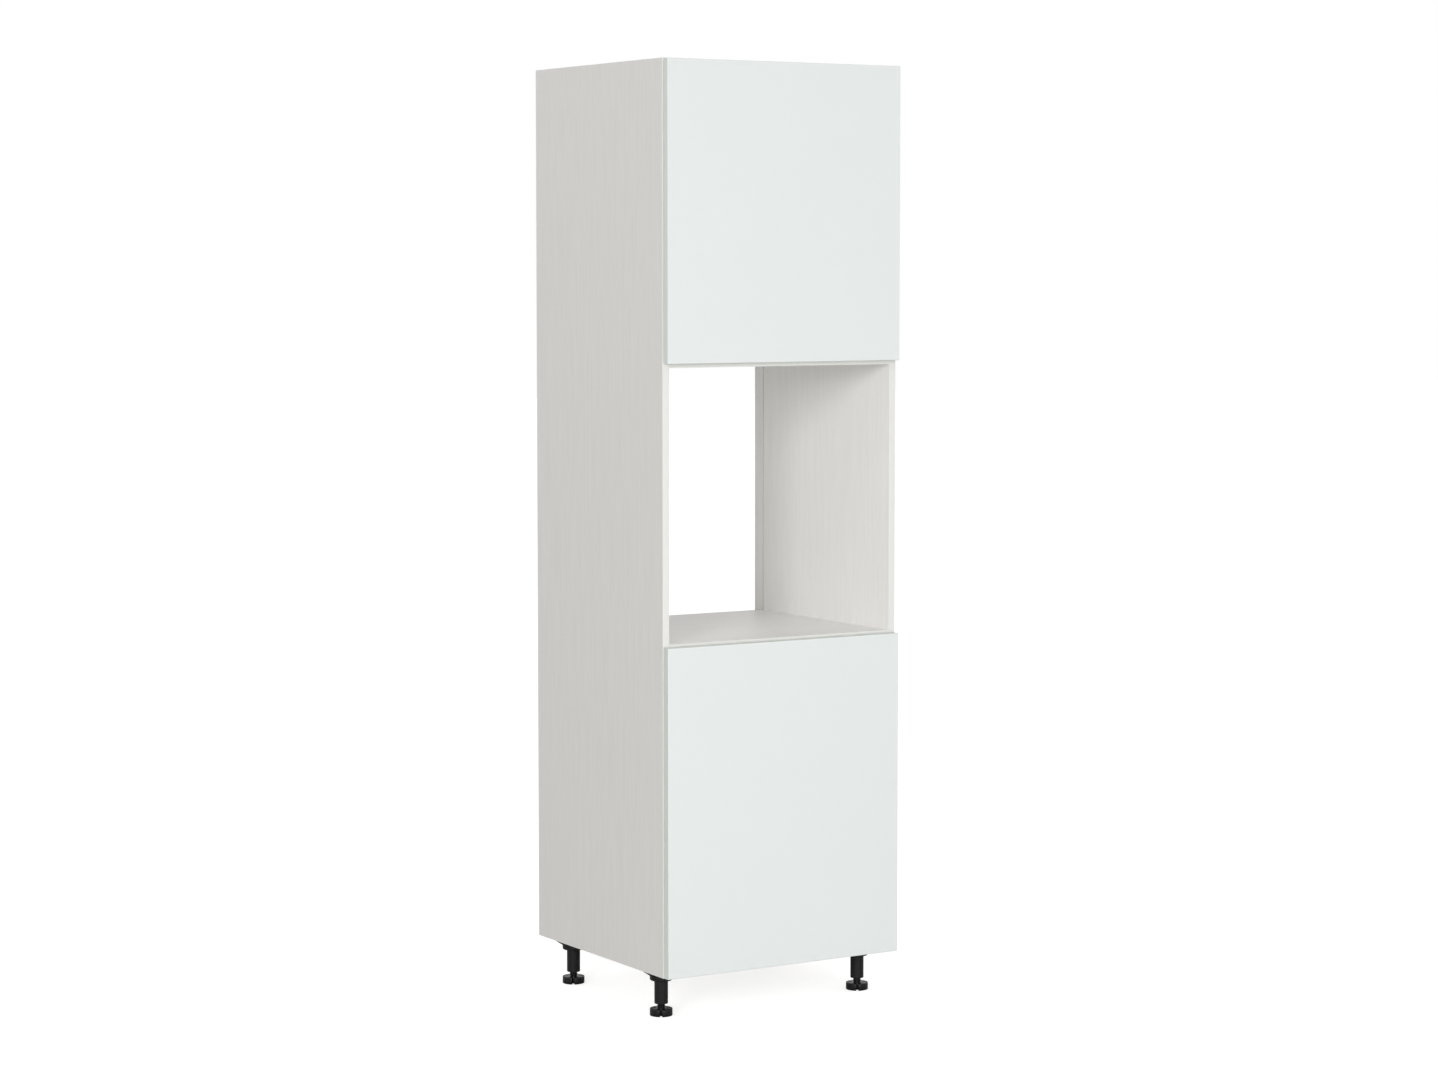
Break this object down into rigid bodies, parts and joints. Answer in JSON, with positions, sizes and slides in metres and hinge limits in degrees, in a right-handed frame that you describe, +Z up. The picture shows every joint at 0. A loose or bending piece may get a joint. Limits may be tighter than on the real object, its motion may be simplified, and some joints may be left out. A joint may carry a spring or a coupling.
{
  "type": "tall oven housing unit",
  "caption": "Tall fitted kitchen housing for a built-in oven: an open niche between an upper and a lower handle-less cupboard door, on adjustable plastic legs.",
  "frame": {"origin": "on the floor, under the middle of the unit's box with its doors closed", "axes": "+X to the right seen from the front, +Y from the front to the wall, +Z up"},
  "size_m": [0.6, 0.5784, 2.07],
  "materials": {
    "white_melamine": "satin melamine on chipboard",
    "back_fibreboard": "thin fibreboard with a pale coating",
    "edge_plastic": "satin plastic edge band",
    "door_lacquer": "smooth satin white front",
    "cam_zinc": "die-cast zinc",
    "plated_steel": "zinc-plated steel",
    "beech": "raw beech",
    "cap_plastic": "white plastic",
    "nickel_steel": "nickel-plated steel",
    "hinge_nickel": "nickel-plated steel",
    "black_plastic": "moulded black plastic",
    "latch_plastic": "moulded grey plastic",
    "bumper_rubber": "soft translucent rubber"
  },
  "bodies": {
    "carcass": {"left_side_panel": "white_melamine", "right_side_panel": "white_melamine", "bottom_panel": "white_melamine", "niche_floor_panel": "white_melamine", "niche_ceiling_panel": "white_melamine", "top_panel": "white_melamine", "lower_shelf": "white_melamine", "upper_shelf": "white_melamine", "lower_back_panel": "back_fibreboard", "upper_back_panel": "back_fibreboard", "edge_bands": "edge_plastic", "cam_housings": "cam_zinc", "cam_bolts": "plated_steel", "wooden_dowels": "beech", "cam_cover_caps": "cap_plastic", "shelf_supports": "nickel_steel", "leg_flanges": "black_plastic", "leg_tubes": "black_plastic", "leg_screws": "plated_steel", "push_latch_housings": "latch_plastic", "push_latch_screws": "plated_steel", "wall_brackets": "plated_steel", "wall_bracket_screws": "plated_steel", "back_panel_screws": "plated_steel", "hinge_mounting_plates": "hinge_nickel", "hinge_arms": "hinge_nickel", "hinge_plate_screws": "plated_steel", "hinge_arm_screws": "plated_steel", "hinge_arm_outer_pins": "nickel_steel", "hinge_arm_inner_pins": "nickel_steel"},
    "upper_outer_link_pair": {"upper_outer_links": "hinge_nickel"},
    "upper_inner_link_pair": {"upper_inner_links": "hinge_nickel"},
    "upper_door": {"upper_door_panel": "door_lacquer", "upper_hinge_cups": "hinge_nickel", "upper_hinge_cup_screws": "plated_steel", "upper_cup_outer_pins": "nickel_steel", "upper_cup_inner_pins": "nickel_steel", "upper_strike_plate": "nickel_steel", "upper_door_bumpers": "bumper_rubber"},
    "upper_plunger": {"upper_latch_plunger": "latch_plastic"},
    "lower_outer_link_pair": {"lower_outer_links": "hinge_nickel"},
    "lower_inner_link_pair": {"lower_inner_links": "hinge_nickel"},
    "lower_door": {"lower_door_panel": "door_lacquer", "lower_hinge_cups": "hinge_nickel", "lower_hinge_cup_screws": "plated_steel", "lower_cup_outer_pins": "nickel_steel", "lower_cup_inner_pins": "nickel_steel", "lower_strike_plate": "nickel_steel", "lower_door_bumpers": "bumper_rubber"},
    "lower_plunger": {"lower_latch_plunger": "latch_plastic"},
    "foot_front_left": {"foot_front_left": "black_plastic"},
    "foot_front_right": {"foot_front_right": "black_plastic"},
    "foot_rear_left": {"foot_rear_left": "black_plastic"},
    "foot_rear_right": {"foot_rear_right": "black_plastic"}
  },
  "joints": [
    {"name": "upper_outer_link_pivot", "type": "hinge", "parent": "carcass", "child": "upper_outer_link_pair", "pos_m": [0.252, -0.24695, 1.746], "axis": [0, 0, 1], "range_deg": [-19.2, 0]},
    {"name": "upper_inner_link_pivot", "type": "hinge", "parent": "carcass", "child": "upper_inner_link_pair", "pos_m": [0.2521, -0.26765, 1.746], "axis": [0, 0, 1], "range_deg": [-26, 0]},
    {"name": "upper_door_pivot", "type": "hinge", "parent": "upper_outer_link_pair", "child": "upper_door", "pos_m": [0.287, -0.27485, 1.746], "axis": [0, 0, 1], "range_deg": [0, 109.07]},
    {"name": "upper_plunger_slide", "type": "slide", "parent": "carcass", "child": "upper_plunger", "axis": [0, -1, 0], "range_m": [0, 0.0141]},
    {"name": "lower_outer_link_pivot", "type": "hinge", "parent": "carcass", "child": "lower_outer_link_pair", "pos_m": [0.252, -0.24695, 0.458], "axis": [0, 0, 1], "range_deg": [-19.2, 0]},
    {"name": "lower_inner_link_pivot", "type": "hinge", "parent": "carcass", "child": "lower_inner_link_pair", "pos_m": [0.2521, -0.26765, 0.458], "axis": [0, 0, 1], "range_deg": [-26, 0]},
    {"name": "lower_door_pivot", "type": "hinge", "parent": "lower_outer_link_pair", "child": "lower_door", "pos_m": [0.287, -0.27485, 0.458], "axis": [0, 0, 1], "range_deg": [0, 109.07]},
    {"name": "lower_plunger_slide", "type": "slide", "parent": "carcass", "child": "lower_plunger", "axis": [0, -1, 0], "range_m": [0, 0.0141]},
    {"name": "foot_front_left_slide", "type": "slide", "parent": "carcass", "child": "foot_front_left", "axis": [0, 0, -1], "range_m": [-0.009, 0.015]},
    {"name": "foot_front_right_slide", "type": "slide", "parent": "carcass", "child": "foot_front_right", "axis": [0, 0, -1], "range_m": [-0.009, 0.015]},
    {"name": "foot_rear_left_slide", "type": "slide", "parent": "carcass", "child": "foot_rear_left", "axis": [0, 0, -1], "range_m": [-0.009, 0.015]},
    {"name": "foot_rear_right_slide", "type": "slide", "parent": "carcass", "child": "foot_rear_right", "axis": [0, 0, -1], "range_m": [-0.009, 0.015]}
  ],
  "couplings": [
    {"joint": "upper_outer_link_pivot", "follows": "upper_door_pivot", "ratio": -0.17484},
    {"joint": "upper_inner_link_pivot", "follows": "upper_door_pivot", "ratio": -0.23721},
    {"joint": "upper_plunger_slide", "follows": "upper_door_pivot", "m_per_rad": 0.00735},
    {"joint": "lower_outer_link_pivot", "follows": "lower_door_pivot", "ratio": -0.17484},
    {"joint": "lower_inner_link_pivot", "follows": "lower_door_pivot", "ratio": -0.23721},
    {"joint": "lower_plunger_slide", "follows": "lower_door_pivot", "m_per_rad": 0.00735}
  ]
}
